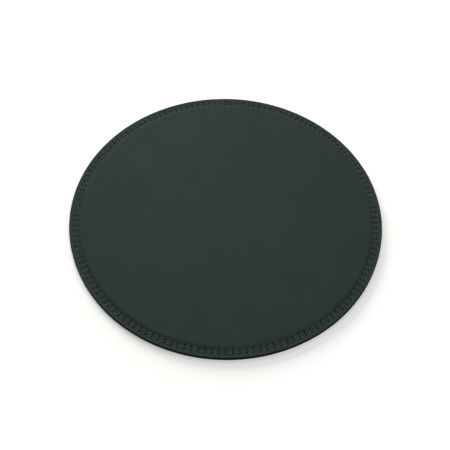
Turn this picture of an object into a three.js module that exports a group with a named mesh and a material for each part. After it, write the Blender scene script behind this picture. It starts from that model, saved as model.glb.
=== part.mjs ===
// Round mouse pad: a face leather drawn over thin foam, a fibre stiffener and a non-slip base,
// held together by a twin-needle lockstitch seam and closed at the rim by a painted edge.
// Millimetres, +Z up. The origin is the centre of the underside, which lies on the desk.

import * as THREE from 'three';

// Finished pad
const PAD_DIAMETER = 220; // over the painted edge
const RIM_FACETS = 80; // flats round each turned layer, a multiple of four

// Layers, from the desk upwards
const BASE_THICKNESS = 1.0; // non-slip microfibre
const BOARD_THICKNESS = 0.7; // leather-fibre stiffener
const PADDING_THICKNESS = 0.6; // foam under the face
const LEATHER_THICKNESS = 1.1; // face leather

// Roll of the face leather, from the padded field down to the seam
const SHOULDER_WIDTH = 3.5;
const SHOULDER_STEPS = 4;
const SHOULDER_TO_CHANNEL = 0.3; // flat between the foot of the roll and the inner stitch channel

// Twin-needle seam
const EDGE_MARGIN = 3.3; // finished rim to the outer row
const ROW_GAUGE = 2.4; // between the two rows
const STITCH_LENGTH = 4.42; // along the middle of the two rows
const SEAM_SINK = 0.15; // thread tension presses the leather this far below the rim
const NEEDLE_THREAD = 0.5; // thread on the face
const NEEDLE_PROUD = 0.2; // top of a stitch above the pressed leather
const NEEDLE_DIVE = 0.15; // drop of the thread at each needle point
const NEEDLE_BEND = 0.9; // from a needle point to where the thread lies flat
const BOBBIN_THREAD = 0.4; // thread on the underside
const BOBBIN_RECESS = 0.03; // lowest thread above the desk
const BOBBIN_DIVE = 0.08; // rise of the thread at each needle point
const THREAD_SIDES = 3;
const THREAD_CLEARANCE = 0.08; // thread to the bottom of its channel

// Painted edge
const EDGE_COAT = 0.3; // thickness on the upright edge
const EDGE_COAT_LIFT = 0.15; // foot of the paint above the desk
const EDGE_COAT_STEPS = 3;
const EDGE_ROUND = 0.45; // burnished corner of the leather under the paint
const EDGE_ROUND_STEPS = 2;

// Radii
const finishedRadius = PAD_DIAMETER / 2;
const cutRadius = finishedRadius - EDGE_COAT;
const outerRow = finishedRadius - EDGE_MARGIN;
const innerRow = outerRow - ROW_GAUGE;
const stitchCount = Math.round((Math.PI * (outerRow + innerRow)) / STITCH_LENGTH);

// Heights
const boardBottom = BASE_THICKNESS;
const boardTop = boardBottom + BOARD_THICKNESS;
const paddingTop = boardTop + PADDING_THICKNESS;
const rimTop = boardTop + LEATHER_THICKNESS;
const seamLevel = rimTop - SEAM_SINK;
const fieldTop = paddingTop + LEATHER_THICKNESS;

// A channel of flats lies inside its circle by this much, so it is cut that much deeper.
const facetSag = outerRow * (1 - Math.cos(Math.PI / RIM_FACETS));
const needleChannel = NEEDLE_THREAD - NEEDLE_PROUD + NEEDLE_DIVE + THREAD_CLEARANCE + facetSag;
const bobbinChannel = BOBBIN_RECESS + BOBBIN_THREAD + BOBBIN_DIVE + THREAD_CLEARANCE + facetSag;

// The roll of the leather and the skived edge of the foam share these two radii.
const shoulderFoot = innerRow - needleChannel - SHOULDER_TO_CHANNEL;
const fieldEdge = shoulderFoot - SHOULDER_WIDTH;

const point = (radius, height) => new THREE.Vector2(radius, height);

/** Points along a curve from start to end, both included. */
function sampled(steps, curve) {
  return Array.from({ length: steps + 1 }, (_, step) => curve(step / steps));
}

/** A stitch channel: a V with 45 degree sides, cut up (+1) or down (-1) from a flat. */
function channel(row, level, depth, direction) {
  return [
    point(row - depth, level),
    point(row, level + direction * depth),
    point(row + depth, level),
  ];
}

/** A layer turned about the vertical axis from its half section. */
function turned(section) {
  const layer = new THREE.LatheGeometry(section, RIM_FACETS);
  layer.rotateX(Math.PI / 2);
  return layer;
}

/** Upper corner of the cut edge, rounded before it is painted: a quarter circle, from the face outwards. */
function burnishedCorner() {
  return sampled(EDGE_ROUND_STEPS, (t) => point(
    cutRadius - EDGE_ROUND * (1 - Math.sin((t * Math.PI) / 2)),
    rimTop - EDGE_ROUND * (1 - Math.cos((t * Math.PI) / 2)),
  ));
}

/** Face leather: padded field, rolled shoulder, two stitch channels, border rising to the rim. */
function topCover() {
  const shoulder = sampled(SHOULDER_STEPS, (t) => point(
    fieldEdge + SHOULDER_WIDTH * t,
    seamLevel + (fieldTop - seamLevel) * Math.cos((t * Math.PI) / 2),
  ));
  return turned([
    point(0, paddingTop),
    point(fieldEdge, paddingTop),
    point(shoulderFoot, boardTop),
    point(cutRadius, boardTop),
    ...burnishedCorner().reverse(),
    ...channel(outerRow, seamLevel, needleChannel, -1).reverse(),
    ...channel(innerRow, seamLevel, needleChannel, -1).reverse(),
    ...shoulder.reverse(),
    point(0, fieldTop),
  ]);
}

/** Foam disc with its edge skived to nothing under the shoulder of the leather. */
function foamPadding() {
  return turned([
    point(0, boardTop),
    point(shoulderFoot, boardTop),
    point(fieldEdge, paddingTop),
    point(0, paddingTop),
  ]);
}

/** Flat stiffener, cut flush with the leather. */
function stiffenerBoard() {
  return turned([
    point(0, boardBottom),
    point(cutRadius, boardBottom),
    point(cutRadius, boardTop),
    point(0, boardTop),
  ]);
}

/** Non-slip underside, with the two channels that keep the bobbin threads off the desk. */
function baseSheet() {
  return turned([
    point(0, 0),
    ...channel(innerRow, 0, bobbinChannel, 1),
    ...channel(outerRow, 0, bobbinChannel, 1),
    point(cutRadius, 0),
    point(cutRadius, boardBottom),
    point(0, boardBottom),
  ]);
}

/**
 * Edge paint: an upright bead on the cut edge, whose upper part is a quarter ellipse that runs over the
 * burnished corner and thins to nothing on the face of the leather.
 */
function edgeCoating() {
  const sideTop = rimTop - EDGE_ROUND;
  const overCorner = sampled(EDGE_COAT_STEPS, (t) => point(
    cutRadius - EDGE_ROUND + (EDGE_ROUND + EDGE_COAT) * Math.cos((t * Math.PI) / 2),
    sideTop + EDGE_ROUND * Math.sin((t * Math.PI) / 2),
  ));
  const foot = point(cutRadius, EDGE_COAT_LIFT);
  return turned([
    foot,
    point(finishedRadius, EDGE_COAT_LIFT + EDGE_COAT),
    ...overCorner,
    ...burnishedCorner().slice(1),
    foot.clone(),
  ]);
}

/**
 * A sewn thread: one closed ring that dives at every needle point. Each station gives its place along
 * the stitch, from 0 to 1, and its share of the dive. The thread's pointed side faces its channel.
 */
function sewnThread(row, diameter, level, dive, pointing, stations) {
  const rings = stitchCount * stations.length;
  const thread = new THREE.TorusGeometry(row, diameter / 2, THREAD_SIDES, rings);
  const position = thread.getAttribute('position');
  for (let index = 0; index < position.count; index += 1) {
    const ring = index % (rings + 1);
    const around = (Math.floor(index / (rings + 1)) / THREAD_SIDES) * 2 * Math.PI;
    const [along, share] = stations[ring % stations.length];
    const angle = ((Math.floor(ring / stations.length) + along) / stitchCount) * 2 * Math.PI;
    const radius = row - pointing * (diameter / 2) * Math.sin(around);
    const height = level + dive * share + pointing * (diameter / 2) * Math.cos(around);
    position.setXYZ(index, radius * Math.cos(angle), radius * Math.sin(angle), height);
  }
  return thread;
}

/** Upper thread: flat along the leather between needle points, down in its channel at each of them. */
function needleThread(row) {
  const level = seamLevel + NEEDLE_PROUD - NEEDLE_THREAD / 2;
  const bend = NEEDLE_BEND / STITCH_LENGTH;
  const stations = [[0, 1], [bend, 0], [1 - bend, 0]];
  return sewnThread(row, NEEDLE_THREAD, level, -NEEDLE_DIVE, -1, stations);
}

/** Lower thread: lowest halfway along each stitch, up in its channel at the needle points. */
function bobbinThread(row) {
  const level = BOBBIN_RECESS + BOBBIN_THREAD / 2;
  const stations = [[0, 1], [0.5, 0]];
  return sewnThread(row, BOBBIN_THREAD, level, BOBBIN_DIVE, 1, stations);
}

const leather = { color: 0x313c3b, roughness: 0.55, metalness: 0 };
const foam = { color: 0x3a3a38, roughness: 0.95, metalness: 0 };
const fibreboard = { color: 0x6f5a45, roughness: 0.9, metalness: 0 };
const microfibre = { color: 0x1c1d1d, roughness: 0.95, metalness: 0 };
const edgePaint = { color: 0x101312, roughness: 0.45, metalness: 0 };
const thread = { color: 0x35403e, roughness: 0.7, metalness: 0 };

const pad = new THREE.Group();

/** Adds one named piece to the pad. */
function addPiece(name, geometry, finish) {
  const piece = new THREE.Mesh(geometry, new THREE.MeshStandardMaterial(finish));
  piece.name = name;
  pad.add(piece);
}

addPiece('base_sheet', baseSheet(), microfibre);
addPiece('stiffener_board', stiffenerBoard(), fibreboard);
addPiece('foam_padding', foamPadding(), foam);
addPiece('top_cover', topCover(), leather);
addPiece('edge_coating', edgeCoating(), edgePaint);
addPiece('outer_needle_thread', needleThread(outerRow), thread);
addPiece('inner_needle_thread', needleThread(innerRow), thread);
addPiece('outer_bobbin_thread', bobbinThread(outerRow), thread);
addPiece('inner_bobbin_thread', bobbinThread(innerRow), thread);

export default pad;
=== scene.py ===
"""Looks of a round sewn mouse pad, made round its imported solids.

A face leather is drawn over thin foam, a leather-fibre stiffener and a napped base. Two rows of lockstitch
hold the layers together, and the cut edge is painted. Shapes are worked out in millimetres in the frame of
the solids: +Z up, the origin at the centre of the underside, which lies on the desk.
"""

from __future__ import annotations

import logging
import math
from abc import ABC, abstractmethod
from collections.abc import Callable
from dataclasses import dataclass, field
from enum import Enum
from typing import Any, ClassVar

import bpy
import numpy as np
from mathutils import Matrix, Vector


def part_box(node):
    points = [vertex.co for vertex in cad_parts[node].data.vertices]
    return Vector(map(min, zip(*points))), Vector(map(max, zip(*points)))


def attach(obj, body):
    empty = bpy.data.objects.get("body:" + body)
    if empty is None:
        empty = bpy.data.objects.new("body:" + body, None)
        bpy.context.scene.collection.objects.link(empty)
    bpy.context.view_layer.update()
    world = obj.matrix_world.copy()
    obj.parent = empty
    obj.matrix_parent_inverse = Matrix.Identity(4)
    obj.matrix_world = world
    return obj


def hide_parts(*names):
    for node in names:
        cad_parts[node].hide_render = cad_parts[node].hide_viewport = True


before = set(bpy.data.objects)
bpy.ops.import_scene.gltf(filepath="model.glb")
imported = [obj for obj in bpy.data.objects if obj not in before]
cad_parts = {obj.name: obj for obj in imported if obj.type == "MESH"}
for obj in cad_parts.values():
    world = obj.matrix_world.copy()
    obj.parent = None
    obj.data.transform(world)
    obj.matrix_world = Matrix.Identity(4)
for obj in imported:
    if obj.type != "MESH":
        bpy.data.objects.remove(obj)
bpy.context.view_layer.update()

Array = np.ndarray
Colour = tuple[float, float, float, float]
Socket = bpy.types.NodeSocket
Tree = bpy.types.NodeTree
Layers = tuple[dict[str, Any], Socket | None]

MM = 0.001  # a millimetre in metres
TURN = 2 * math.pi
BODY = "root"
SPACING_SAMPLES = 2001  # places at which a wanted spacing is summed up
HOLE_SHARE = "hole"  # attribute that gives the share of needle hole
# painted shade of the needle holes, deeper and darker than the meshes' shallow holes render
HOLE_SHADE = "#060808"
THREAD_MAP = "along_thread"
COLOUR_MIX = {"output": "Result_Color", "data_type": "RGBA"}  # settings for a mix of two colours

log = logging.getLogger("mouse_pad")


# Curves and rings


def smooth_step(low: float, high: float, value: Array) -> Array:
    """Rise from 0 at low to 1 at high along the cubic 3 t^2 - 2 t^3, flat at both ends."""
    t = np.clip((value - low) / (high - low), 0.0, 1.0)
    return t * t * (3 - 2 * t)


def quarter_turn(count: int) -> Array:
    """A column of so many angles, evenly spaced from 0 to a right angle."""
    return np.linspace(0.0, math.pi / 2, count)[:, None]


def plain_radii(edge: float, count: int) -> Array:
    """A column of so many radii, evenly spaced from the middle, with the edge as the last."""
    return np.linspace(0.0, edge, count + 1)[1:, None]


def graded(low: float, high: float, spacing: Callable[[Array], Array]) -> Array:
    """Stations from low to high whose gaps follow a wanted spacing.

    The wanted steps up to a place are the integral of one over the spacing. The stations lie where that
    count passes equal shares, as many as it rounds up to.

    Args:
        low: first station.
        high: last station.
        spacing: wanted gap at each place.

    Returns:
        The stations in rising order, both ends included.
    """
    fine = np.linspace(low, high, SPACING_SAMPLES)
    middle = (fine[1:] + fine[:-1]) / 2
    steps = np.append(0.0, np.cumsum(np.diff(fine) / spacing(middle)))
    shares = np.linspace(0.0, steps[-1], math.ceil(steps[-1]) + 1)
    return np.interp(shares, steps, fine)


def round_wander(angles: Array, slowest: int, fastest: int, seed: int) -> Array:
    """Gentle irregularity round the rim, from -1 to 1.

    It is a sum of cosine waves that fit the turn, with seeded phases and amplitudes that fall as one over
    the square root of the wave number, divided by its own greatest value.

    Args:
        angles: places round the rim in radians.
        slowest: waves per turn of the longest wave.
        fastest: waves per turn of the shortest wave.
        seed: start of the random draws.

    Returns:
        One value for each angle.
    """
    draws = np.random.default_rng(seed)
    waves = np.arange(slowest, fastest + 1)
    phases = draws.uniform(0.0, TURN, len(waves))
    total = np.cos(np.outer(angles, waves) + phases) @ (1 / np.sqrt(waves))
    return total / np.abs(total).max()


def rings(radius: Array | float, height: Array | float, angles: Array) -> Array:
    """Points of rings round the Z axis.

    A point lies at its radius times the cosine and the sine of its angle, and at its height.

    Args:
        radius: radii, as one for all, as a column of one per ring or as rings x columns.
        height: heights in any of those forms.
        angles: angles in radians, as a row of one per column or as rings x columns.

    Returns:
        Rings x columns x 3 points.
    """
    r, z, a = np.broadcast_arrays(radius, height, angles)
    return np.stack([r * np.cos(a), r * np.sin(a), z], axis=-1)


def join_rings(first: Array, second: Array) -> Array:
    """Faces between two rings of vertex numbers, of which one may be several times as fine.

    Rings with as many columns are joined by quads. Otherwise each column of the coarser ring gets one
    polygon, whose other side runs over all the finer ring's vertices there.

    Args:
        first: vertex numbers of the ring nearer the top pole.
        second: vertex numbers of the next ring.

    Returns:
        One row of vertex numbers for each face.
    """
    columns = min(len(first), len(second))
    sides = []
    for ring in (first, second):
        share = len(ring) // columns
        run = np.arange(columns)[:, None] * share + np.arange(share + 1)
        sides.append(ring[run % len(ring)])
    return np.hstack([sides[0][:, ::-1], sides[1]])


class TurnedSkin:
    """A closed skin of rings round the Z axis.

    The rings run from the middle of the top out over the rim and back along the underside, so that faces
    point outwards. With poles the skin starts and ends at a point on the axis. Without them it is a loop
    whose last ring meets its first.
    """

    IN_HOLE: ClassVar[float] = 0.95  # mean share of needle hole above which a face lies inside one

    def __init__(
        self,
        bands: list[Array],
        poles: tuple[float, float] | None = None,
        holes: list[Array | float] | None = None,
    ) -> None:
        """Take the skin's points.

        Args:
            bands: rings x columns x 3 points in millimetres; the columns of neighbours divide evenly.
            poles: heights of the top and the lower pole.
            holes: for each band, the share of needle hole at each of its points, and on a thread the share
                of its painted dive shade.
        """
        self.bands = bands
        self.poles = np.array([(0.0, 0.0, height) for height in poles or ()]).reshape(-1, 3)
        self.holes = holes or [0.0] * len(bands)
        self.points = np.concatenate([*(band.reshape(-1, 3) for band in bands), self.poles])

    def faces(self) -> list[Array]:
        """Join ring to ring, and close the poles with fans or the loop with its last strip.

        Returns:
            For each strip or fan, one row of vertex numbers for each of its faces.
        """
        numbers = []
        start = 0
        for band in self.bands:
            count = band.shape[0] * band.shape[1]
            numbers.extend(np.arange(start, start + count).reshape(band.shape[:2]))
            start += count
        strips = [join_rings(a, b) for a, b in zip(numbers, numbers[1:])]
        first, last = numbers[0], numbers[-1]
        if len(self.poles):
            top, low = np.full_like(first, start), np.full_like(last, start + 1)
            strips.append(np.stack([top, first, np.roll(first, -1)], axis=1))
            strips.append(np.stack([np.roll(last, -1), last, low], axis=1))
        else:
            strips.append(join_rings(last, first))
        return strips

    def hole_shares(self) -> Array:
        """Lay out the share of needle hole as the points are laid out.

        Returns:
            One share for every vertex, poles included.
        """
        pairs = zip(self.holes, self.bands)
        spread = [np.broadcast_to(share, band.shape[:2]).ravel() for share, band in pairs]
        return np.concatenate([*spread, np.zeros(len(self.poles))])

    def mesh(self, name: str) -> bpy.types.Mesh:
        """Put the skin into a smooth mesh, in metres, with the share of needle hole as an attribute, which
        the finishes paint as shade.

        Faces that lie inside a hole take the second material, which is painted hole shade.

        Args:
            name: the mesh's name.

        Returns:
            The new mesh.
        """
        strips = self.faces()
        corners = np.concatenate([strip.ravel() for strip in strips])
        sizes = np.concatenate([np.full(len(strip), strip.shape[1]) for strip in strips])
        hole = self.hole_shares()
        inside = np.concatenate([hole[strip].mean(axis=1) > self.IN_HOLE for strip in strips])
        made = bpy.data.meshes.new(name)
        made.vertices.add(len(self.points))
        made.vertices.foreach_set("co", (self.points * MM).ravel())
        made.loops.add(len(corners))
        made.loops.foreach_set("vertex_index", corners)
        made.polygons.add(len(sizes))
        made.polygons.foreach_set("loop_start", np.cumsum(sizes) - sizes)
        made.polygons.foreach_set("use_smooth", np.ones(len(sizes), dtype=bool))
        made.polygons.foreach_set("material_index", inside.astype(np.int32))
        made.attributes.new(HOLE_SHARE, "FLOAT", "POINT").data.foreach_set("value", hole)
        made.update(calc_edges=True)
        return made


# Nodes and finishes


def linear(code: str) -> Colour:
    """Turn an sRGB colour into a linear one.

    A dark share is divided by 12.92. A lighter one gains 0.055, is divided by 1.055 and is raised to the
    power 2.4.

    Args:
        code: the colour as #rrggbb.

    Returns:
        Linear red, green and blue, and an alpha of 1.
    """
    shares = [int(code[i:i + 2], 16) / 255 for i in (1, 3, 5)]
    red, green, blue = (s / 12.92 if s <= 0.04045 else ((s + 0.055) / 1.055) ** 2.4 for s in shares)
    return red, green, blue, 1.0


def per_metre(spacing_mm: float) -> float:
    """Texture scale at which a pattern repeats once in so many millimetres."""
    return 1 / (spacing_mm * MM)


def add_node(
    tree: Tree,
    kind: str,
    sockets: dict[str, Any] | None = None,
    output: str = "",
    **settings: Any,
) -> Socket | None:
    """Add a shader node with its settings, and fill its sockets with values or links.

    Args:
        tree: the node tree.
        kind: the type of the node.
        sockets: by name or identifier, a value or the socket that feeds it.
        output: name or identifier of the output that is wanted, or nothing for the first one.
        settings: the node's own properties.

    Returns:
        The wanted output, or None on a node that has no outputs.
    """
    node = tree.nodes.new(kind)
    for name, value in settings.items():
        setattr(node, name, value)
    for key, value in (sockets or {}).items():
        socket = next(s for s in node.inputs if key in (s.identifier, s.name))
        if isinstance(value, Socket):
            tree.links.new(value, socket)
        else:
            socket.default_value = value
    return next((s for s in node.outputs if output in ("", s.identifier, s.name)), None)


def paint_hole_shade(tree: Tree, colour: Socket) -> Socket:
    """Lay painted shade over a colour where the needle holes are, by the piece's share of needle hole.

    Args:
        tree: the node tree.
        colour: the colour away from the holes.

    Returns:
        The colour with its painted hole shade.
    """
    holes = add_node(tree, "ShaderNodeAttribute", output="Fac", attribute_name=HOLE_SHARE)
    # painted shade: the colour turns near-black where the piece has a needle hole
    return add_node(tree, "ShaderNodeMix", {
        "Factor_Float": holes, "A_Color": colour, "B_Color": linear(HOLE_SHADE),
    }, **COLOUR_MIX)


def add_seen(tree: Tree) -> Socket:
    """Nodes that tell how a ray meets a surface or the surround.

    Args:
        tree: the node tree.

    Returns:
        1 for rays that see it straight, in a gloss or through glass, and 0 for the others.
    """
    kinds = ("Is Camera Ray", "Is Glossy Ray", "Is Transmission Ray")
    camera, glossy, through = (add_node(tree, "ShaderNodeLightPath", output=kind) for kind in kinds)
    either = add_node(tree, "ShaderNodeMath", {
        "Value": camera, "Value_001": glossy,
    }, operation="MAXIMUM")
    return add_node(tree, "ShaderNodeMath", {
        "Value": either, "Value_001": through,
    }, operation="MAXIMUM")


class Finish(ABC):
    """A finish: a named material that lays out its own nodes."""

    name: ClassVar[str]

    @abstractmethod
    def surface(self, tree: Tree) -> Socket:
        """Lay out the nodes and return the socket of the finished shader."""

    def material(self) -> bpy.types.Material:
        """Make the material on the first call, and find it again later.

        Returns:
            The material of this finish.
        """
        made = bpy.data.materials.get(self.name)
        if made is None:
            made = bpy.data.materials.new(self.name)
            made.use_nodes = True
            made.node_tree.nodes.clear()
            shader = self.surface(made.node_tree)
            add_node(made.node_tree, "ShaderNodeOutputMaterial", {"Surface": shader})
        return made


class PieceFinish(Finish):
    """Finish of a piece of the pad: one opaque shader, with a relief unless it is flat."""

    relief_mm: float = 0.0
    bump: float = 0.0  # strength of the relief

    @abstractmethod
    def layers(self, tree: Tree, place: Socket) -> Layers:
        """Lay out the patterns of the finish.

        Args:
            tree: the node tree.
            place: coordinates that the patterns follow.

        Returns:
            What goes into each socket of the shader, and the height of the relief, or None if it is flat.
        """

    def coordinates(self, tree: Tree) -> Socket:
        """Coordinates of the piece itself, in metres."""
        return add_node(tree, "ShaderNodeTexCoord", output="Object")

    def surface(self, tree: Tree) -> Socket:
        """Feed the shader from the patterns, with the relief as a bump.

        Args:
            tree: the node tree.

        Returns:
            The socket of the finished shader.
        """
        sockets, height = self.layers(tree, self.coordinates(tree))
        if height is not None:
            sockets["Normal"] = add_node(tree, "ShaderNodeBump", {
                "Height": height, "Strength": self.bump, "Distance": self.relief_mm * MM,
            })
        return add_node(tree, "ShaderNodeBsdfPrincipled", sockets)


@dataclass(frozen=True)
class PressedCowhide(PieceFinish):
    """Full-grain cowhide, drum-dyed dark green, pigment-coated and pressed smooth.

    The eye sees a matt skin with a fine shallow grain, faintly cloudy dye and needle holes darkened by
    painted shade.
    """

    name: ClassVar[str] = "pressed_cowhide_dark_green"
    dye: str = "#222f2d"
    pale_dye: str = "#263331"
    cloud_mm: float = 26.0
    cloud_range: tuple[float, float] = (0.3, 0.7)  # of the noise, from one dye to the other
    grain_mm: float = 0.9  # the real grain is about 0.4 mm, drawn coarser so that it shows
    crook_mm: float = 0.5  # how far the creases between the grain's cells stray from straight
    crease: float = 0.24  # half width of a crease, as a share of the grain
    pore_mm: float = 0.35
    pore_height: float = 0.4  # against the height of the grain's cells
    relief_mm: float = 0.04
    bump: float = 0.5
    roughness: tuple[float, float] = (0.4, 0.47)
    ior: float = 1.5
    specular: float = 0.1

    def layers(self, tree: Tree, place: Socket) -> Layers:
        """Cloudy dye with painted shade in the needle holes, over a relief of grain cells and pores.

        Args:
            tree: the node tree.
            place: coordinates of the piece.

        Returns:
            The shader's sockets, and the height of the relief.
        """
        cloud = add_node(tree, "ShaderNodeTexNoise", {
            "Vector": place, "Scale": per_metre(self.cloud_mm), "Detail": 4.0, "Roughness": 0.6,
        })
        clouded = add_node(tree, "ShaderNodeMapRange", {
            "Value": cloud, "From Min": self.cloud_range[0], "From Max": self.cloud_range[1],
        })
        dyed = add_node(tree, "ShaderNodeMix", {
            "Factor_Float": clouded, "A_Color": linear(self.dye), "B_Color": linear(self.pale_dye),
        }, **COLOUR_MIX)
        roughness = add_node(tree, "ShaderNodeMapRange", {
            "Value": cloud, "To Min": self.roughness[0], "To Max": self.roughness[1],
        })
        crook = add_node(tree, "ShaderNodeTexNoise", {
            "Vector": place, "Scale": per_metre(self.grain_mm), "Detail": 2.0,
        }, "Color")
        strayed = add_node(tree, "ShaderNodeVectorMath", {
            "Vector": crook, "Vector_001": (self.crook_mm * MM,) * 3, "Vector_002": place,
        }, operation="MULTIPLY_ADD")
        cells = add_node(tree, "ShaderNodeTexVoronoi", {
            "Vector": strayed, "Scale": per_metre(self.grain_mm),
        }, feature="DISTANCE_TO_EDGE")
        creases = add_node(tree, "ShaderNodeMapRange", {
            "Value": cells, "From Max": self.crease,
        }, interpolation_type="SMOOTHSTEP")
        pores = add_node(tree, "ShaderNodeTexNoise", {
            "Vector": place, "Scale": per_metre(self.pore_mm), "Detail": 1.0,
        })
        relief = add_node(tree, "ShaderNodeMath", {
            "Value": pores, "Value_001": self.pore_height, "Value_002": creases,
        }, operation="MULTIPLY_ADD")
        # painted shade in the needle holes
        return {
            "Base Color": paint_hole_shade(tree, dyed), "Roughness": roughness,
            "IOR": self.ior, "Specular IOR Level": self.specular,
        }, relief


@dataclass(frozen=True)
class RolledEdgePaint(PieceFinish):
    """Acrylic edge paint, rolled on in a few coats and left to dry.

    The eye sees a satin black film with faint lumps where the coats levelled out.
    """

    name: ClassVar[str] = "rolled_acrylic_edge_paint"
    film: str = "#040505"
    thin_film: str = "#070909"
    lump_mm: float = 1.6
    relief_mm: float = 0.02
    bump: float = 0.5
    roughness: tuple[float, float] = (0.45, 0.6)
    ior: float = 1.49
    specular: float = 0.04

    def layers(self, tree: Tree, place: Socket) -> Layers:
        """A film whose shade, gloss and relief follow the same lumps.

        Args:
            tree: the node tree.
            place: coordinates of the piece.

        Returns:
            The shader's sockets, and the height of the relief.
        """
        lumps = add_node(tree, "ShaderNodeTexNoise", {
            "Vector": place, "Scale": per_metre(self.lump_mm), "Detail": 3.0,
        })
        film = add_node(tree, "ShaderNodeMix", {
            "Factor_Float": lumps, "A_Color": linear(self.film), "B_Color": linear(self.thin_film),
        }, **COLOUR_MIX)
        roughness = add_node(tree, "ShaderNodeMapRange", {
            "Value": lumps, "To Min": self.roughness[0], "To Max": self.roughness[1],
        })
        return {
            "Base Color": film, "Roughness": roughness, "IOR": self.ior, "Specular IOR Level": self.specular,
        }, lumps


@dataclass(frozen=True)
class TwistedPolyester(PieceFinish):
    """Bonded polyester sewing thread, three plies twisted together.

    The eye sees a soft slanting stripe from ply to ply and a low sheen along the stitch. The ply colour is
    partly the thread's own and partly painted sheen; the groove colour is painted shade between the plies.
    """

    name: ClassVar[str] = "twisted_polyester_thread"
    # ply: the thread's own colour made lighter to paint part of its sheen; groove: painted shade between the
    # plies
    ply: str = "#505956"
    groove: str = "#353d3b"
    plies: int = 3
    ply_mm: float = 0.55  # the real plies lie about 0.4 mm apart, drawn coarser so that they show
    relief_mm: float = 0.05
    bump: float = 0.6
    roughness: float = 0.6
    specular: float = 0.15
    sheen: float = 0.1
    sheen_roughness: float = 0.4

    def coordinates(self, tree: Tree) -> Socket:
        """The thread's own map: millimetres along it, and the share of a turn round it."""
        return add_node(tree, "ShaderNodeUVMap", uv_map=THREAD_MAP)

    def layers(self, tree: Tree, place: Socket) -> Layers:
        """Slanting plies, with painted shade where the thread dives into a hole.

        A diagonal wave of scale 1 runs through one turn for every 2 pi / 10 of the sum of its coordinates,
        so the map is scaled to as many plies round the thread and one every ply spacing along it.

        Args:
            tree: the node tree.
            place: the thread's own map.

        Returns:
            The shader's sockets, and the height of the relief.
        """
        wave = TURN / 10
        turned = add_node(tree, "ShaderNodeMapping", {
            "Vector": place, "Scale": (wave / self.ply_mm, wave * self.plies, 0.0),
        })
        plies = add_node(tree, "ShaderNodeTexWave", {
            "Vector": turned, "Scale": 1.0,
        }, wave_type="BANDS", bands_direction="DIAGONAL")
        # painted sheen on the plies and painted shade in the grooves between them
        twisted = add_node(tree, "ShaderNodeMix", {
            "Factor_Float": plies, "A_Color": linear(self.groove), "B_Color": linear(self.ply),
        }, **COLOUR_MIX)
        # painted shade where the thread dives into a needle hole
        return {
            "Base Color": paint_hole_shade(tree, twisted), "Roughness": self.roughness,
            "Specular IOR Level": self.specular,
            "Sheen Weight": self.sheen, "Sheen Roughness": self.sheen_roughness,
        }, plies


@dataclass(frozen=True)
class NeedleHoleShade(PieceFinish):
    """Painted shade of a needle hole, where hardly any light reaches, over its raw leather fibre and thread.

    The eye sees a small black spot without gloss.
    """

    name: ClassVar[str] = "needle_hole_painted_shade"
    # painted shade: near-black, fully rough and without gloss, for the depth of the hole
    shade: str = "#030404"
    fibre: str = "#080a0a"
    fibre_mm: float = 0.2

    def layers(self, tree: Tree, place: Socket) -> Layers:
        """Fine fibres under painted shade, fully rough, too dark for a relief to show.

        Args:
            tree: the node tree.
            place: coordinates of the piece.

        Returns:
            The shader's sockets, and None for the relief.
        """
        fibres = add_node(tree, "ShaderNodeTexNoise", {
            "Vector": place, "Scale": per_metre(self.fibre_mm), "Detail": 2.0,
        })
        coloured = add_node(tree, "ShaderNodeMix", {
            "Factor_Float": fibres, "A_Color": linear(self.shade), "B_Color": linear(self.fibre),
        }, **COLOUR_MIX)
        return {"Base Color": coloured, "Roughness": 1.0, "Specular IOR Level": 0.0}, None


@dataclass(frozen=True)
class NappedMicrofibre(PieceFinish):
    """Non-woven microfibre with a polyurethane binder, buffed to a short nap.

    The eye sees a soft near-black ground, patchy where the nap lies two ways, with a pale bloom where it
    is seen at a low angle.
    """

    name: ClassVar[str] = "napped_microfibre"
    ground: str = "#1b1d1d"
    brushed: str = "#2b2e2e"
    patch_mm: float = 9.0
    nap_mm: float = 0.5
    nap_range: tuple[float, float] = (0.12, 0.4)  # of nap times patch, from ground to brushed
    relief_mm: float = 0.08
    bump: float = 0.6
    roughness: float = 0.92
    specular: float = 0.2
    sheen: float = 0.3
    sheen_roughness: float = 0.5

    def layers(self, tree: Tree, place: Socket) -> Layers:
        """Patches of brushed nap, a fine fibrous relief and a sheen, with painted shade in the needle holes.

        Args:
            tree: the node tree.
            place: coordinates of the piece.

        Returns:
            The shader's sockets, and the height of the relief.
        """
        patches = add_node(tree, "ShaderNodeTexNoise", {
            "Vector": place, "Scale": per_metre(self.patch_mm), "Detail": 5.0, "Distortion": 0.6,
        })
        nap = add_node(tree, "ShaderNodeTexNoise", {
            "Vector": place, "Scale": per_metre(self.nap_mm), "Detail": 3.0, "Roughness": 0.7,
        })
        mixed = add_node(tree, "ShaderNodeMath", {
            "Value": nap, "Value_001": patches,
        }, operation="MULTIPLY")
        share = add_node(tree, "ShaderNodeMapRange", {
            "Value": mixed, "From Min": self.nap_range[0], "From Max": self.nap_range[1],
        })
        napped = add_node(tree, "ShaderNodeMix", {
            "Factor_Float": share, "A_Color": linear(self.ground), "B_Color": linear(self.brushed),
        }, **COLOUR_MIX)
        # painted shade in the needle holes
        return {
            "Base Color": paint_hole_shade(tree, napped), "Roughness": self.roughness,
            "Specular IOR Level": self.specular,
            "Sheen Weight": self.sheen, "Sheen Roughness": self.sheen_roughness,
        }, nap


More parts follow.
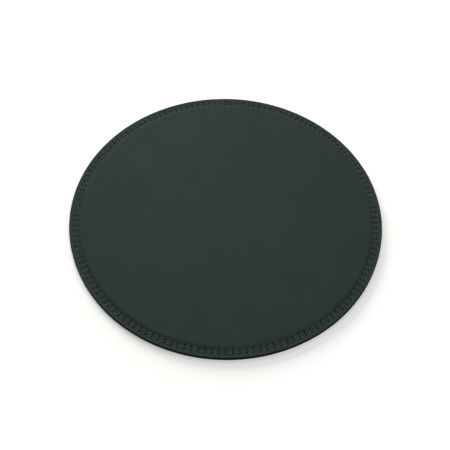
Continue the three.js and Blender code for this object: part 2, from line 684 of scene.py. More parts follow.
@dataclass(frozen=True)
class SplitFoam(PieceFinish):
    """Open-cell polyurethane foam, split from a block.

    The eye sees dark grey with cut cells, whose walls are paler than their pits; the pits' darker colour is
    painted shade.
    """

    name: ClassVar[str] = "split_polyurethane_foam"
    wall: str = "#4a4a47"
    # pit: painted shade in the cells' pits
    pit: str = "#232322"
    cell_mm: float = 0.7
    half_wall: float = 0.3  # half width of a wall, as a share of a cell
    relief_mm: float = 0.15
    bump: float = 0.8
    roughness: float = 0.95
    specular: float = 0.2

    def layers(self, tree: Tree, place: Socket) -> Layers:
        """Cells whose walls stand up from the pits, which are darkened by painted shade.

        Args:
            tree: the node tree.
            place: coordinates of the piece.

        Returns:
            The shader's sockets, and the height of the relief.
        """
        cells = add_node(tree, "ShaderNodeTexVoronoi", {
            "Vector": place, "Scale": per_metre(self.cell_mm),
        }, feature="DISTANCE_TO_EDGE")
        walls = add_node(tree, "ShaderNodeMapRange", {
            "Value": cells, "From Max": self.half_wall, "To Min": 1.0, "To Max": 0.0,
        }, interpolation_type="SMOOTHSTEP")
        coloured = add_node(tree, "ShaderNodeMix", {
            "Factor_Float": walls, "A_Color": linear(self.pit), "B_Color": linear(self.wall),
        }, **COLOUR_MIX)
        return {
            "Base Color": coloured, "Roughness": self.roughness, "Specular IOR Level": self.specular,
        }, walls


@dataclass(frozen=True)
class BondedLeatherBoard(PieceFinish):
    """Ground leather fibres pressed into board with natural latex.

    The eye sees a dull brown with short pale and dark flecks.
    """

    name: ClassVar[str] = "bonded_leather_board"
    fibre: str = "#6f5a45"
    flecks: tuple[str, str] = ("#8d7760", "#4a392b")  # pale and dark
    fleck_ranges: tuple[tuple[float, float], ...] = ((0.52, 0.66), (0.46, 0.34))  # of the felt noise
    fleck_mm: float = 0.8
    relief_mm: float = 0.04
    bump: float = 0.6
    roughness: float = 0.88
    specular: float = 0.25

    def layers(self, tree: Tree, place: Socket) -> Layers:
        """Pale and dark flecks over the fibre colour, with a felted relief.

        Args:
            tree: the node tree.
            place: coordinates of the piece.

        Returns:
            The shader's sockets, and the height of the relief.
        """
        felt = add_node(tree, "ShaderNodeTexNoise", {
            "Vector": place, "Scale": per_metre(self.fleck_mm), "Detail": 4.0, "Distortion": 1.5,
        })
        coloured = linear(self.fibre)
        for fleck, (none, full) in zip(self.flecks, self.fleck_ranges):
            share = add_node(tree, "ShaderNodeMapRange", {
                "Value": felt, "From Min": none, "From Max": full,
            })
            coloured = add_node(tree, "ShaderNodeMix", {
                "Factor_Float": share, "A_Color": coloured, "B_Color": linear(fleck),
            }, **COLOUR_MIX)
        return {
            "Base Color": coloured, "Roughness": self.roughness, "Specular IOR Level": self.specular,
        }, felt


# Sizes and seam


@dataclass(frozen=True)
class PadSizes:
    """Radii and heights of the pad's layers in millimetres."""

    rim: float
    cut: float
    base_top: float
    board_top: float
    rim_top: float
    field_top: float
    gap: float = 0.005  # kept between faces that touch on the real pad

    @classmethod
    def from_frame(cls) -> PadSizes:
        """Read each size from the far corner of the box of the solid that sets it.

        Returns:
            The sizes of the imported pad.
        """
        far = {node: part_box(node)[1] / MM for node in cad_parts}
        return cls(
            rim=far["edge_coating"].x,
            cut=far["stiffener_board"].x,
            base_top=far["base_sheet"].z,
            board_top=far["stiffener_board"].z,
            rim_top=far["edge_coating"].z,
            field_top=far["top_cover"].z,
        )


class Side(Enum):
    """Which way a thread dives at its needle points: down from the face, or up from the underside."""

    FACE = -1
    UNDERSIDE = 1


@dataclass(frozen=True, kw_only=True)
class ThreadLine:
    """The line of one sewn thread: a row round the pad that dives into every needle hole."""

    side: Side
    row: float
    level: float  # height of the thread's middle between needle points
    half_width: float
    half_height: float
    dive: float
    seed: int
    stitches: int
    hole_radius: float = 0.45
    hole_rim: float = 0.15
    dive_length: float = 0.4  # from the needle point to where about a third of the dive is left
    crown: float = 0.05  # height of a stitch's middle over its ends, before the dive
    slant: float = 0.2
    wander: float = 0.05
    clearance: float = 0.03
    groove_width: float = 0.4
    hole_spread: float = 0.2  # by which the groove is wider at a needle point

    @property
    def pitch(self) -> float:
        """Length of one stitch along the row."""
        return TURN * self.row / self.stitches

    def from_needle(self, angles: Array) -> Array:
        """Distance along the row from the nearest needle point, with its sign."""
        turns = angles * self.stitches / TURN
        return (turns - np.round(turns)) * self.pitch

    def columns(self, fine: float, wide: float) -> Array:
        """Angles round the row that lie close over the needle holes and further apart between them.

        Half a stitch is divided from its needle point to its middle, and mirrored. The gap widens along a
        smooth step from the outside of the hole's rim to twice as far from the needle point.

        Args:
            fine: gap over a hole.
            wide: gap at the middle of a stitch.

        Returns:
            The angles of one turn in radians, from a needle point at 0, without the closing one.
        """
        rim = self.hole_radius + self.hole_rim
        half = graded(
            0.0, self.pitch / 2, lambda s: fine + (wide - fine) * smooth_step(rim, 2 * rim, s),
        )
        stitch = np.append(half, self.pitch - half[-2:0:-1])
        starts = np.arange(self.stitches)[:, None] * self.pitch
        return ((starts + stitch) / self.row).ravel()

    def plunge(self, angles: Array) -> Array:
        """Share of the dive: a bell curve round each needle point."""
        return np.exp(-((self.from_needle(angles) / self.dive_length) ** 2))

    def hole(self, radius: Array, angles: Array) -> Array:
        """Share of needle hole: 1 inside the round hole, fading to 0 over its rim, which softens the edge of
        the hole's painted shade.
        """
        apart = np.hypot(self.from_needle(angles), radius - self.place(angles))
        return 1 - smooth_step(self.hole_radius, self.hole_radius + self.hole_rim, apart)

    def middle(self, angles: Array) -> Array:
        """Height of the thread's middle: its level, moved by the dive and a squared cosine for the crown."""
        ends = np.cos(math.pi * self.from_needle(angles) / self.pitch) ** 2
        return self.level + self.side.value * (self.dive * self.plunge(angles) + self.crown * ends)

    def slope(self, angles: Array) -> Array:
        """Rise of the thread's middle per length along the row, which is the derivative of its height.

        Args:
            angles: places round the row in radians.

        Returns:
            One slope for each angle.
        """
        s = self.from_needle(angles)
        dive = -2 * s / self.dive_length ** 2 * self.dive * self.plunge(angles)
        crown = -self.crown * math.pi / self.pitch * np.sin(TURN * s / self.pitch)
        return self.side.value * (dive + crown)

    def place(self, angles: Array) -> Array:
        """Radius of the thread's middle: the row, a slant across each stitch and a seeded wander.

        The slant is a sine over the stitch that fades out in the dive, so that the holes stay round. The
        wander is drawn at each needle point and runs straight from one to the next.

        Args:
            angles: places round the row in radians.

        Returns:
            One radius for each angle.
        """
        turns = angles * self.stitches / TURN
        swing = np.sin(TURN * turns) * (1 - self.plunge(angles))
        draws = np.random.default_rng(self.seed).uniform(-1.0, 1.0, self.stitches)
        drift = np.interp(turns, np.arange(self.stitches + 1), np.append(draws, draws[0]))
        return self.row + self.slant * swing + self.wander * drift

    def groove(self, radius: Array, angles: Array, ground: Array) -> tuple[Array, Array]:
        """How a layer gives way to the thread, as a change of height and a share of needle hole.

        Under the thread the layer lies one clearance beyond its buried side, which is half its height from
        its middle, upright across the slope. Sideways the groove fades as exp(-|x / width|^4).

        Args:
            radius: column of radii.
            angles: row of angles.
            ground: height of the layer at the row, for each angle.

        Returns:
            Rings x columns of height changes, and of hole shares from 0 to 1.
        """
        reach = self.half_height * np.sqrt(1 + self.slope(angles) ** 2) + self.clearance
        depth = self.side.value * (self.middle(angles) - ground) + reach
        width = self.groove_width + self.hole_spread * self.plunge(angles)
        fade = np.exp(-np.abs((radius - self.place(angles)) / width) ** 4)
        return self.side.value * depth * fade, self.hole(radius, angles)


@dataclass(frozen=True)
class Seam:
    """Twin-needle lockstitch seam that follows the rim."""

    outer_row: float
    inner_row: float
    face_level: float  # leather between the rows
    stitches: int = 150
    needle_thread: float = 0.5
    needle_spread: float = 1.1  # width of the sewn upper thread against the loose one
    needle_proud: float = 0.2
    needle_dive: float = 0.5
    bobbin_thread: float = 0.4
    bobbin_recess: float = 0.03
    bobbin_dive: float = 0.3
    pressed: float = 0.9  # height of a sewn thread against the loose one
    outer_hole: float = 0.53
    inner_hole: float = 0.58  # wider, for a larger painted hole shade along the inner row, at the foot of the roll

    EDGE_MARGIN: ClassVar[float] = 3.3
    ROW_GAUGE: ClassVar[float] = 2.4
    SINK: ClassVar[float] = 0.15  # thread tension presses the leather this far below the rim

    @classmethod
    def along_rim(cls, sizes: PadSizes) -> Seam:
        """Lay the two rows in from the rim."""
        outer = sizes.rim - cls.EDGE_MARGIN
        return cls(outer_row=outer, inner_row=outer - cls.ROW_GAUGE, face_level=sizes.rim_top - cls.SINK)

    def needle_line(self, row: float, hole: float, seed: int) -> ThreadLine:
        """Upper thread of a row, proud of the pressed leather.

        Args:
            row: radius of the row.
            hole: radius of its needle holes.
            seed: start of its random draws.

        Returns:
            The line of the thread.
        """
        half = self.needle_thread / 2
        return ThreadLine(
            side=Side.FACE, row=row, level=self.face_level + self.needle_proud - half,
            half_width=half * self.needle_spread, half_height=half * self.pressed,
            dive=self.needle_dive, seed=seed, stitches=self.stitches, hole_radius=hole,
        )

    def bobbin_line(self, row: float, seed: int) -> ThreadLine:
        """Lower thread of a row, just clear of the desk.

        Args:
            row: radius of the row.
            seed: start of its random draws.

        Returns:
            The line of the thread.
        """
        half = self.bobbin_thread / 2
        return ThreadLine(
            side=Side.UNDERSIDE, row=row, level=self.bobbin_recess + half,
            half_width=half, half_height=half * self.pressed,
            dive=self.bobbin_dive, seed=seed, stitches=self.stitches,
        )


# Pieces of the pad


@dataclass(frozen=True, kw_only=True)
class PadPiece(ABC):
    """A piece of the pad that stands for one of its solids."""

    name: str
    node: str
    slot: str
    finish: Finish
    hole_finish: Finish | None = None

    @abstractmethod
    def skin(self) -> TurnedSkin:
        """Work out the piece's closed skin."""

    def declare(self, piece: bpy.types.Object) -> None:
        """A hook for saying what kind of soft piece it is; it does nothing here."""

    def map_mesh(self, mesh: bpy.types.Mesh) -> None:
        """Give the mesh its own map, where its finish follows the surface."""

    def build(self) -> None:
        """Make the piece with its place in its mesh, dress it and set it on the pad's body."""
        mesh = self.skin().mesh(self.name)
        self.map_mesh(mesh)
        for finish in filter(None, (self.finish, self.hole_finish)):
            mesh.materials.append(finish.material())
        piece = bpy.data.objects.new(self.name, mesh)
        bpy.context.scene.collection.objects.link(piece)
        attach(piece, BODY)
        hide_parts(self.node)
        self.declare(piece)
        log.info("%s: %d vertices, %d faces", self.name, len(mesh.vertices), len(mesh.polygons))


@dataclass(frozen=True, kw_only=True)
class SewnSheet(PadPiece):
    """A round cut of sheet, with two rows of thread sewn into one of its sides."""

    hole_finish: Finish = field(default_factory=NeedleHoleShade)
    sizes: PadSizes
    lines: tuple[ThreadLine, ThreadLine]  # outer and inner thread
    held: str
    rests_on: tuple[str, ...]
    corner: float  # radius of the rounded edge on the sewn side
    corner_rings: int
    fine_gap: float = 0.2  # between columns over a needle hole
    wide_gap: float  # between columns at the middle of a stitch
    row_gap: tuple[float, float]  # between rings across a row, and what is added away from it
    row_reach: tuple[float, float]  # distances from a row between which that is added
    plain_rings: int = 8
    plain_margin: float = 1.0  # last plain ring to the part that is shaped

    @abstractmethod
    def ground(self, radius: Array, angles: Array) -> Array:
        """Height of the sewn side before the threads press their grooves into it."""

    def sewn(self, radius: Array, angles: Array) -> tuple[Array, Array]:
        """Press the grooves of both threads into the ground.

        Args:
            radius: column of radii.
            angles: row of angles.

        Returns:
            Rings x columns of heights, and of hole shares from 0 to 1.
        """
        height = self.ground(radius, angles)
        hole = np.zeros_like(height)
        for line in self.lines:
            at_row = self.ground(np.array([[line.row]]), angles)[0]
            change, share = line.groove(radius, angles, at_row)
            height = height + change
            hole = np.maximum(hole, share)
        return height, hole

    def ring_gap(self, radius: Array) -> Array:
        """Wanted gap between rings: fine across a stitch row, wider away from it."""
        apart = np.min([np.abs(radius - line.row) for line in self.lines], axis=0)
        return self.row_gap[0] + self.row_gap[1] * smooth_step(*self.row_reach, apart)

    def columns(self) -> tuple[Array, int]:
        """Angles of the columns, and how many of them there are in a stitch."""
        angles = self.lines[0].columns(self.fine_gap, self.wide_gap)
        return angles, len(angles) // self.lines[0].stitches

    def declare(self, piece: bpy.types.Object) -> None:
        """Does nothing: no round cut is declared for the sheet.

        Args:
            piece: the sheet's object; not used.
        """


@dataclass(frozen=True, kw_only=True)
class FaceLeather(SewnSheet):
    """Face leather: a flat field, a roll down to the seam, two stitch rows and a border up to the rim."""

    name: str = "face_leather"
    node: str = "top_cover"
    slot: str = "leather"
    finish: Finish = field(default_factory=PressedCowhide)
    held: str = "stretched"
    rests_on: tuple[str, ...] = ("foam_disc", "stiffener_board")
    seam_level: float
    thickness: float = 1.1
    shoulder_width: float = 4.3
    shoulder_gap: float = 0.1  # foot of the roll to the inner row
    shoulder_power: float = 2.2  # puts the steepest part of the roll near the seam
    border_gap: float = 0.4  # outer row to the foot of the border
    corner: float = 0.1  # burnished, under the edge paint
    corner_rings: int = 6
    side_rings: int = 4
    pucker: float = 0.08  # dimple that thread tension draws round a needle point
    pucker_reach: float = 1.1
    wide_gap: float = 0.7
    row_gap: tuple[float, float] = (0.14, 0.3)
    row_reach: tuple[float, float] = (0.5, 1.5)
    field_margin: float = 0.4  # first shaped ring to the roll
    flesh_margin: float = 0.5  # the same on the flesh side
    flesh_gap: float = 0.6  # between rings of the flesh side under the roll and the seam
    flesh_rim: float = 1.0  # outermost of them to the cut edge
    lip: float = 0.1  # first ring of the flesh side to the cut edge

    @property
    def roll_foot(self) -> float:
        """Radius at which the roll ends."""
        return self.lines[1].row - self.shoulder_gap

    @property
    def field_edge(self) -> float:
        """Radius at which the field starts to roll down."""
        return self.roll_foot - self.shoulder_width

    def rolled(self, radius: Array) -> Array:
        """Height of the face before it is sewn.

        The roll falls as half a cosine wave of its share of the width to a power. The border rises to the
        rim along a smooth step.

        Args:
            radius: radii in any form.

        Returns:
            One height for each radius.
        """
        share = np.clip((radius - self.field_edge) / self.shoulder_width, 0.0, 1.0)
        fall = (1 + np.cos(math.pi * share ** self.shoulder_power)) / 2
        border = smooth_step(self.lines[0].row + self.border_gap, self.sizes.cut - self.corner, radius)
        return (
            self.seam_level
            + (self.sizes.field_top - self.seam_level) * fall
            + (self.sizes.rim_top - self.seam_level) * border
        )

    def under(self, radius: Array) -> Array:
        """Height of the flesh side: one thickness below the rolled face, but never below the board."""
        return np.maximum(self.rolled(radius) - self.thickness, self.sizes.board_top) + self.sizes.gap

    def ground(self, radius: Array, angles: Array) -> Array:
        """Height of the rolled face with a round bell-shaped dimple at every needle point.

        Args:
            radius: column of radii.
            angles: row of angles.

        Returns:
            Rings x columns of heights.
        """
        height = self.rolled(radius)
        for line in self.lines:
            apart = (line.from_needle(angles) ** 2 + (radius - line.row) ** 2) / self.pucker_reach ** 2
            height = height - self.pucker * np.exp(-apart)
        return height

    def skin(self) -> TurnedSkin:
        """Coarse rings on the field, fine ones over the seam, coarse ones round the rim and underneath.

        Returns:
            The skin from the field's middle over the rim to the middle of the flesh side.
        """
        angles, in_stitch = self.columns()
        needles, halves = angles[::in_stitch], angles[::in_stitch // 2]
        cut, top = self.sizes.cut, self.sizes.field_top
        field_rings = plain_radii(self.field_edge - self.plain_margin, self.plain_rings)
        face_rings = graded(self.field_edge - self.field_margin, cut - self.corner, self.ring_gap)[:, None]
        face, hole = self.sewn(face_rings, angles)
        bend = quarter_turn(self.corner_rings)[1:]
        corner_radius = cut - self.corner * (1 - np.sin(bend))
        corner_height = self.sizes.rim_top - self.corner * (1 - np.cos(bend))
        foot = self.sizes.board_top + self.sizes.gap
        side_height = np.linspace(corner_height[-1], foot, self.side_rings)[1:]
        seam_flesh = graded(
            self.field_edge - self.flesh_margin, cut - self.flesh_rim,
            lambda r: np.full_like(r, self.flesh_gap),
        )
        flesh_rings = np.append(seam_flesh[::-1], field_rings[::-1])[:, None]
        bands = [
            rings(field_rings, top, needles),
            rings(face_rings, face, angles),
            rings(corner_radius, corner_height, halves),
            rings(cut, side_height, halves),
            rings(np.array([[cut - self.lip]]), foot, halves),
            rings(flesh_rings, self.under(flesh_rings), needles),
        ]
        poles = (top, float(self.under(np.zeros(1))[0]))
        return TurnedSkin(bands, poles, [0.0, hole, 0.0, 0.0, 0.0, 0.0])


@dataclass(frozen=True, kw_only=True)
class FoamDisc(PadPiece):
    """Thin foam under the field, skived at its edge to the roll of the leather."""

    name: str = "foam_disc"
    node: str = "foam_padding"
    slot: str = "foam"
    finish: Finish = field(default_factory=SplitFoam)
    sizes: PadSizes
    cover: FaceLeather
    columns: int = 180
    field_rings: int = 9
    skived_rings: int = 9
    field_margin: float = 0.5  # last ring of the field to the roll
    edge_margin: float = 1.0  # next ring of the lower side to the edge
    edge_samples: int = 400  # places of the roll at which the edge is looked for
    thin_edge: float = 0.04
    fill: float = 0.9

    def skin(self) -> TurnedSkin:
        """Follow the flesh side of the leather out to where the foam is skived thin, then the board back.

        Returns:
            The skin from the middle of the top to the middle of the lower side.
        """
        angles = np.arange(self.columns) * TURN / self.columns
        gap, roll = self.sizes.gap, self.cover.field_edge
        floor = self.sizes.board_top + gap
        slope = np.linspace(roll, self.cover.roll_foot, self.edge_samples)
        edge = slope[np.argmax(self.cover.under(slope) - 2 * gap - floor < self.thin_edge)]
        inner = plain_radii(roll - self.field_margin, self.field_rings)
        top_rings = np.append(inner, np.linspace(roll, edge, self.skived_rings))[:, None]
        low_rings = np.append([edge, edge - self.edge_margin], inner[::-1])[:, None]
        bands = [
            rings(top_rings, self.cover.under(top_rings) - 2 * gap, angles),
            rings(low_rings, floor, angles),
        ]
        return TurnedSkin(bands, (float(self.cover.under(np.zeros(1))[0]) - 2 * gap, floor))

    def declare(self, piece: bpy.types.Object) -> None:
        """Does nothing: the foam is not declared."""


@dataclass(frozen=True, kw_only=True)
class BaseSheet(SewnSheet):
    """Non-slip base: flat, with a softened lower edge and the two rows that the lower threads pull in."""

    name: str = "microfibre_base"
    node: str = "base_sheet"
    slot: str = "microfibre"
    finish: Finish = field(default_factory=NappedMicrofibre)
    held: str = "laid"
    rests_on: tuple[str, ...] = ("stiffener_board",)
    corner: float = 0.25
    corner_rings: int = 5
    wide_gap: float = 0.8
    row_gap: tuple[float, float] = (0.15, 0.55)
    row_reach: tuple[float, float] = (0.4, 1.5)
    sewn_margin: float = 2.0  # edge of the sewn band to the inner row
    corner_margin: float = 0.2  # sewn band to the rounded edge
    glued_rim: float = 1.0  # last coarse ring of the glued side to the cut edge
    bevel: float = 0.1  # of the upper edge

    def ground(self, radius: Array, angles: Array) -> Array:
        """The flat underside, on the desk."""
        return np.zeros(np.broadcast_shapes(radius.shape, angles.shape))

    def skin(self) -> TurnedSkin:
        """Coarse rings on the glued side, then the edge, the sewn band and the coarse underside.

        Returns:
            The skin from the middle of the glued side to the middle of the underside.
        """
        angles, in_stitch = self.columns()
        needles = angles[::in_stitch]
        cut, top = self.sizes.cut, self.sizes.base_top - self.sizes.gap
        inside = self.lines[1].row - self.sewn_margin
        plain_rings = plain_radii(inside - self.plain_margin, self.plain_rings)
        glued_rings = np.append(plain_rings, cut - self.glued_rim)[:, None]
        bend = quarter_turn(self.corner_rings)
        edge_radius = np.vstack([[[cut - self.bevel]], [[cut]], cut - self.corner * (1 - np.cos(bend))])
        edge_height = np.vstack([[[top]], [[top - self.bevel]], self.corner * (1 - np.sin(bend))])
        sewn_rings = graded(inside, cut - self.corner - self.corner_margin, self.ring_gap)[::-1, None]
        height, hole = self.sewn(sewn_rings, angles)
        bands = [
            rings(glued_rings, top, needles),
            rings(edge_radius, edge_height, angles),
            rings(sewn_rings, height, angles),
            rings(plain_rings[::-1], 0.0, needles),
        ]
        return TurnedSkin(bands, (top, 0.0), [0.0, 0.0, hole, 0.0])


@dataclass(frozen=True, kw_only=True)
class PaintedEdge(PadPiece):
    """Film of edge paint on the cut edge, carried over the burnished corner onto the face."""

    name: str = "painted_edge"
    node: str = "edge_coating"
    slot: str = "edge_paint"
    finish: Finish = field(default_factory=RolledEdgePaint)
    sizes: PadSizes
    corner: float
    lift: float = 0.15
    lip: float = 0.02  # height of the film's end over the face
    lip_reach: float = 0.02  # least that the film reaches in past the corner
    lip_wander: float = 0.05  # how far the painted line strays further in
    lip_waves: tuple[int, int] = (5, 70)  # fewest and most per turn
    film_wander: float = 0.05  # by which the film is thinner in places
    film_waves: tuple[int, int] = (3, 90)
    corner_rings: int = 7
    columns: int = 900

    def skin(self) -> TurnedSkin:
        """Run over the outside of the film, from the lip down to the foot, and back along the cut edge.

        The outside is a quarter ellipse over the corner, an upright wall and a quarter ellipse at the foot.
        The inside is the wall and the rounded corner of the layers, one gap away.

        Returns:
            The skin as a loop.
        """
        angles = np.arange(self.columns) * TURN / self.columns
        stray = self.lip_reach + (1 + round_wander(angles, *self.lip_waves, seed=11)) / 2 * self.lip_wander
        thin = (1 + round_wander(angles, *self.film_waves, seed=12)) / 2 * self.film_wander
        cut, film = self.sizes.cut, self.sizes.rim - self.sizes.cut
        shoulder = self.sizes.rim_top - self.corner
        inner = self.corner + self.sizes.gap
        bend = quarter_turn(self.corner_rings)
        back = bend[::-1]
        lip_radius = cut - self.corner - stray
        over_radius = lip_radius + (self.sizes.rim - thin - lip_radius) * np.sin(bend)
        over_height = shoulder + (self.corner + self.lip) * np.cos(bend)
        foot_radius = cut + (film - thin) * np.cos(bend)
        foot_height = self.lift + film * (1 - np.sin(bend))
        return TurnedSkin([
            rings(over_radius, over_height, angles),
            rings(foot_radius, foot_height, angles),
            rings(cut - self.corner + inner * np.sin(back), shoulder + inner * np.cos(back), angles),
            rings(lip_radius[None, :], self.sizes.rim_top + self.sizes.gap, angles),
        ])


@dataclass(frozen=True, kw_only=True)
class SewnThread(PadPiece):
    """One thread of the seam, carried along its line."""

    slot: str = "thread"
    finish: Finish = field(default_factory=TwistedPolyester)
    hole_finish: Finish = field(default_factory=NeedleHoleShade)
    line: ThreadLine
    sides: int = 6
    fine_gap: float = 0.2  # between sections over a needle hole
    wide_gap: float = 0.5
    shaded_dive: tuple[float, float] = (0.06, 0.28)  # shares of the dive over which painted shade darkens it

    def angles(self) -> Array:
        """Places of the thread's sections round the pad."""
        return self.line.columns(self.fine_gap, self.wide_gap)

    def skin(self) -> TurnedSkin:
        """Carry an ellipse along the line, square to its slope.

        A point of the section lies across the row by the half width times a sine, and off the middle,
        square to the slope, by the half height times a cosine.

        Returns:
            The skin as a loop round the section.
        """
        angles = self.angles()
        section = np.arange(self.sides)[:, None] * TURN / self.sides
        tilt = np.arctan(self.line.slope(angles))
        off = self.line.half_height * np.cos(section)
        radius = self.line.place(angles) + self.line.half_width * np.sin(section)
        height = self.line.middle(angles) + off * np.cos(tilt)
        shifted = angles - off * np.sin(tilt) / self.line.row
        # painted shade where the thread dives, carried in the needle-hole attribute and the hole material
        shade = smooth_step(*self.shaded_dive, self.line.plunge(angles))
        return TurnedSkin([rings(radius, height, shifted)], None, [shade])

    def map_mesh(self, mesh: bpy.types.Mesh) -> None:
        """Map the thread by its length in millimetres and by its share of a turn round the section.

        Args:
            mesh: the thread's mesh, whose faces run along each side of the section in turn.
        """
        along = np.append(self.angles(), TURN) * self.line.row
        column = np.arange(len(along) - 1)[:, None] + np.array([1, 0, 0, 1])
        around = np.arange(self.sides)[:, None, None] + np.array([0, 0, 1, 1])
        pairs = np.stack(np.broadcast_arrays(along[column], around / self.sides), axis=-1)
        mesh.uv_layers.new(name=THREAD_MAP).data.foreach_set("uv", pairs.ravel())


@dataclass(frozen=True)
class StiffenerBoard:
    """Stiffener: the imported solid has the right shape, so it only gets its finish."""

    node: str = "stiffener_board"
    finish: Finish = field(default_factory=BondedLeatherBoard)

    def dress(self) -> None:
        """Put the finish on the solid."""
        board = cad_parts[self.node]
        board.data.materials.clear()
        board.data.materials.append(self.finish.material())
        log.info("%s: dressed", self.node)


# Studio


@dataclass(frozen=True)
class StudioPaper(Finish):
    """Matt white background paper, which is clear from below, so that the underside shows and is lit.

    The eye sees white that turns faintly warm in the pad's shadow.
    """

    name: ClassVar[str] = "matt_background_paper"
    paper: str = "#f4f5f1"
    glow: float = 0.185  # added where the paper is seen near the pad, so that it is white past the shadow
    near: float = 0.11  # metres from the origin, up to where the glow is that low
    far: float = 0.4  # metres, from where the glow alone is white
    contact: float = 0.0005  # metres; light reaches the underside through paper that is nearer to it

    def surface(self, tree: Tree) -> Socket:
        """Diffuse paper with a glow for rays that look at it, clear from behind and where the pad touches.

        Args:
            tree: the node tree.

        Returns:
            The socket of the finished shader.
        """
        place = add_node(tree, "ShaderNodeTexCoord", output="Object")
        away = add_node(tree, "ShaderNodeVectorMath", {"Vector": place}, "Value", operation="LENGTH")
        rising = add_node(tree, "ShaderNodeMapRange", {
            "Value": away, "From Min": self.near, "From Max": self.far, "To Min": self.glow,
        })
        glow = add_node(tree, "ShaderNodeMath", {
            "Value": add_seen(tree), "Value_001": rising,
        }, operation="MULTIPLY")
        paper = add_node(tree, "ShaderNodeBsdfDiffuse", {"Color": linear(self.paper)})
        light = add_node(tree, "ShaderNodeEmission", {"Strength": glow})
        lit = add_node(tree, "ShaderNodeAddShader", {"Shader": paper, "Shader_001": light})
        behind = add_node(tree, "ShaderNodeNewGeometry", output="Backfacing")
        length = add_node(tree, "ShaderNodeLightPath", output="Ray Length")
        touching = add_node(tree, "ShaderNodeMath", {
            "Value": length, "Value_001": self.contact,
        }, operation="LESS_THAN")
        open_share = add_node(tree, "ShaderNodeMath", {
            "Value": behind, "Value_001": touching,
        }, operation="MAXIMUM")
        clear = add_node(tree, "ShaderNodeBsdfTransparent")
        return add_node(tree, "ShaderNodeMixShader", {
            "Fac": open_share, "Shader": lit, "Shader_001": clear,
        })


@dataclass(frozen=True)
class Softbox:
    """A rectangular lamp that faces the pad."""

    name: str
    bearing: float  # degrees from +X towards +Y
    elevation: float  # degrees above the desk
    distance: float  # metres
    width: float
    height: float
    level: float  # brightness of white paper under this lamp alone
    mirrored: bool = False  # whether glossy finishes show it; a crossed polariser hides it from them

    def build(self) -> None:
        """Hang the lamp.

        Its power is the level times pi squared times the distance squared, over the sine of its elevation:
        that is what makes white paper at the pad render at the level.
        """
        rise, bearing = math.radians(self.elevation), math.radians(self.bearing)
        flat = math.cos(rise)
        towards = Vector((flat * math.cos(bearing), flat * math.sin(bearing), math.sin(rise)))
        data = bpy.data.lights.new(self.name, "AREA")
        data.shape = "RECTANGLE"
        data.size, data.size_y = self.width, self.height
        data.energy = self.level * (math.pi * self.distance) ** 2 / math.sin(rise)
        lamp = bpy.data.objects.new(self.name, data)
        lamp.visible_glossy = self.mirrored
        lamp.location = towards * self.distance
        lamp.rotation_mode = "QUATERNION"
        lamp.rotation_quaternion = (-towards).to_track_quat("-Z", "Y")
        bpy.context.scene.collection.objects.link(lamp)


@dataclass(frozen=True)
class Studio:
    """White paper, soft lamps from the back left, the back, the right and above, and a faint surround."""

    paper: Finish = field(default_factory=StudioPaper)
    half_side: float = 4.0  # metres
    drop: float = 0.00005  # metres that the paper lies under the base, so that the faces don't coincide
    surround: float = 0.08
    white: str = "#ffffff"
    lamps: tuple[Softbox, ...] = (
        Softbox("key_softbox", bearing=118, elevation=19, distance=1.2, width=0.9, height=0.42, level=0.36),
        Softbox(
            "back_softbox", bearing=100, elevation=55, distance=1.2, width=0.5, height=0.35, level=0.14,
            mirrored=True,
        ),
        Softbox("side_softbox", bearing=0, elevation=40, distance=1.2, width=0.9, height=0.8, level=0.11),
        Softbox("fill_softbox", bearing=300, elevation=75, distance=1.6, width=0.8, height=0.8, level=0.32),
    )

    def build(self) -> None:
        """Lay the paper, hang the lamps and light the surround."""
        corners = np.array([(-1, -1), (1, -1), (1, 1), (-1, 1)]) * self.half_side
        points = np.column_stack([corners, np.full(4, -self.drop)])
        mesh = bpy.data.meshes.new("background_paper")
        mesh.from_pydata(points.tolist(), [], [(0, 1, 2, 3)])
        mesh.materials.append(self.paper.material())
        paper = bpy.data.objects.new("background_paper", mesh)
        bpy.context.scene.collection.objects.link(paper)
        for lamp in self.lamps:
            lamp.build()
        self.light_surround()
        bpy.context.scene.view_settings.view_transform = "Standard"

    def light_surround(self) -> None:
        """Even light from all round, which is white where it is seen and below the paper."""
        world = bpy.data.worlds.new("white_surround")
        bpy.context.scene.world = world
        world.use_nodes = True
        tree = world.node_tree
        tree.nodes.clear()
        way = add_node(tree, "ShaderNodeTexCoord", output="Generated")
        rise = add_node(tree, "ShaderNodeSeparateXYZ", {"Vector": way}, "Z")
        below = add_node(tree, "ShaderNodeMath", {
            "Value": rise, "Value_001": 0.0,
        }, operation="LESS_THAN")
        white = add_node(tree, "ShaderNodeMath", {
            "Value": add_seen(tree), "Value_001": below,
        }, operation="MAXIMUM")
        strength = add_node(tree, "ShaderNodeMapRange", {
            "Value": white, "To Min": self.surround, "To Max": 1.0,
        })
        light = add_node(tree, "ShaderNodeBackground", {"Color": linear(self.white), "Strength": strength})
        add_node(tree, "ShaderNodeOutputWorld", {"Surface": light})


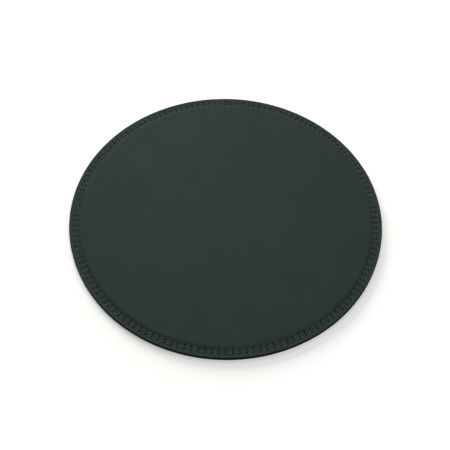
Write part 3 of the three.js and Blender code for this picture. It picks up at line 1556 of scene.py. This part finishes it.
@dataclass(frozen=True)
class PhotoCamera:
    """The photograph's camera, fitted to the pad's outline and its stitch rows."""

    lens: float = 60.0  # millimetres
    sensor: float = 36.0
    distance: float = 532.8  # millimetres to the origin
    elevation: float = 55.66  # degrees
    yaw: float = 0.05  # small turns about the camera's own axes, in degrees
    pitch: float = -0.69
    roll: float = 1.44
    clip: tuple[float, float] = (0.01, 100.0)  # metres

    def build(self) -> None:
        """Set the camera in front of the pad, looking down at the origin, then turn it slightly."""
        rise = math.radians(self.elevation)
        data = bpy.data.cameras.new("photo_camera")
        data.lens, data.sensor_width = self.lens, self.sensor
        data.clip_start, data.clip_end = self.clip
        place = Vector((0.0, -math.cos(rise), math.sin(rise))) * self.distance * MM
        turns = [(90 - self.elevation, "X"), (self.yaw, "Y"), (self.pitch, "X"), (self.roll, "Z")]
        pose = Matrix.Translation(place)
        for degrees, axis in turns:
            pose = pose @ Matrix.Rotation(math.radians(degrees), 4, axis)
        camera = bpy.data.objects.new("photo_camera", data)
        camera.matrix_world = pose
        bpy.context.scene.collection.objects.link(camera)
        bpy.context.scene.camera = camera


def main() -> None:
    """Build the camera, the pad's layers, its edge and its threads, and the studio."""
    logging.basicConfig(level=logging.INFO, format="%(name)s: %(message)s")
    PhotoCamera().build()
    sizes = PadSizes.from_frame()
    seam = Seam.along_rim(sizes)
    upper = (
        seam.needle_line(seam.outer_row, seam.outer_hole, seed=1),
        seam.needle_line(seam.inner_row, seam.inner_hole, seed=2),
    )
    lower = (seam.bobbin_line(seam.outer_row, seed=3), seam.bobbin_line(seam.inner_row, seed=4))
    cover = FaceLeather(sizes=sizes, lines=upper, seam_level=seam.face_level)
    FoamDisc(sizes=sizes, cover=cover).build()
    cover.build()
    StiffenerBoard().dress()
    BaseSheet(sizes=sizes, lines=lower).build()
    PaintedEdge(sizes=sizes, corner=cover.corner).build()
    for kind, lines in (("needle", upper), ("bobbin", lower)):
        for row, line in zip(("outer", "inner"), lines):
            SewnThread(name=f"{row}_{kind}_stitches", node=f"{row}_{kind}_thread", line=line).build()
    Studio().build()


if __name__ == "__main__":
    main()
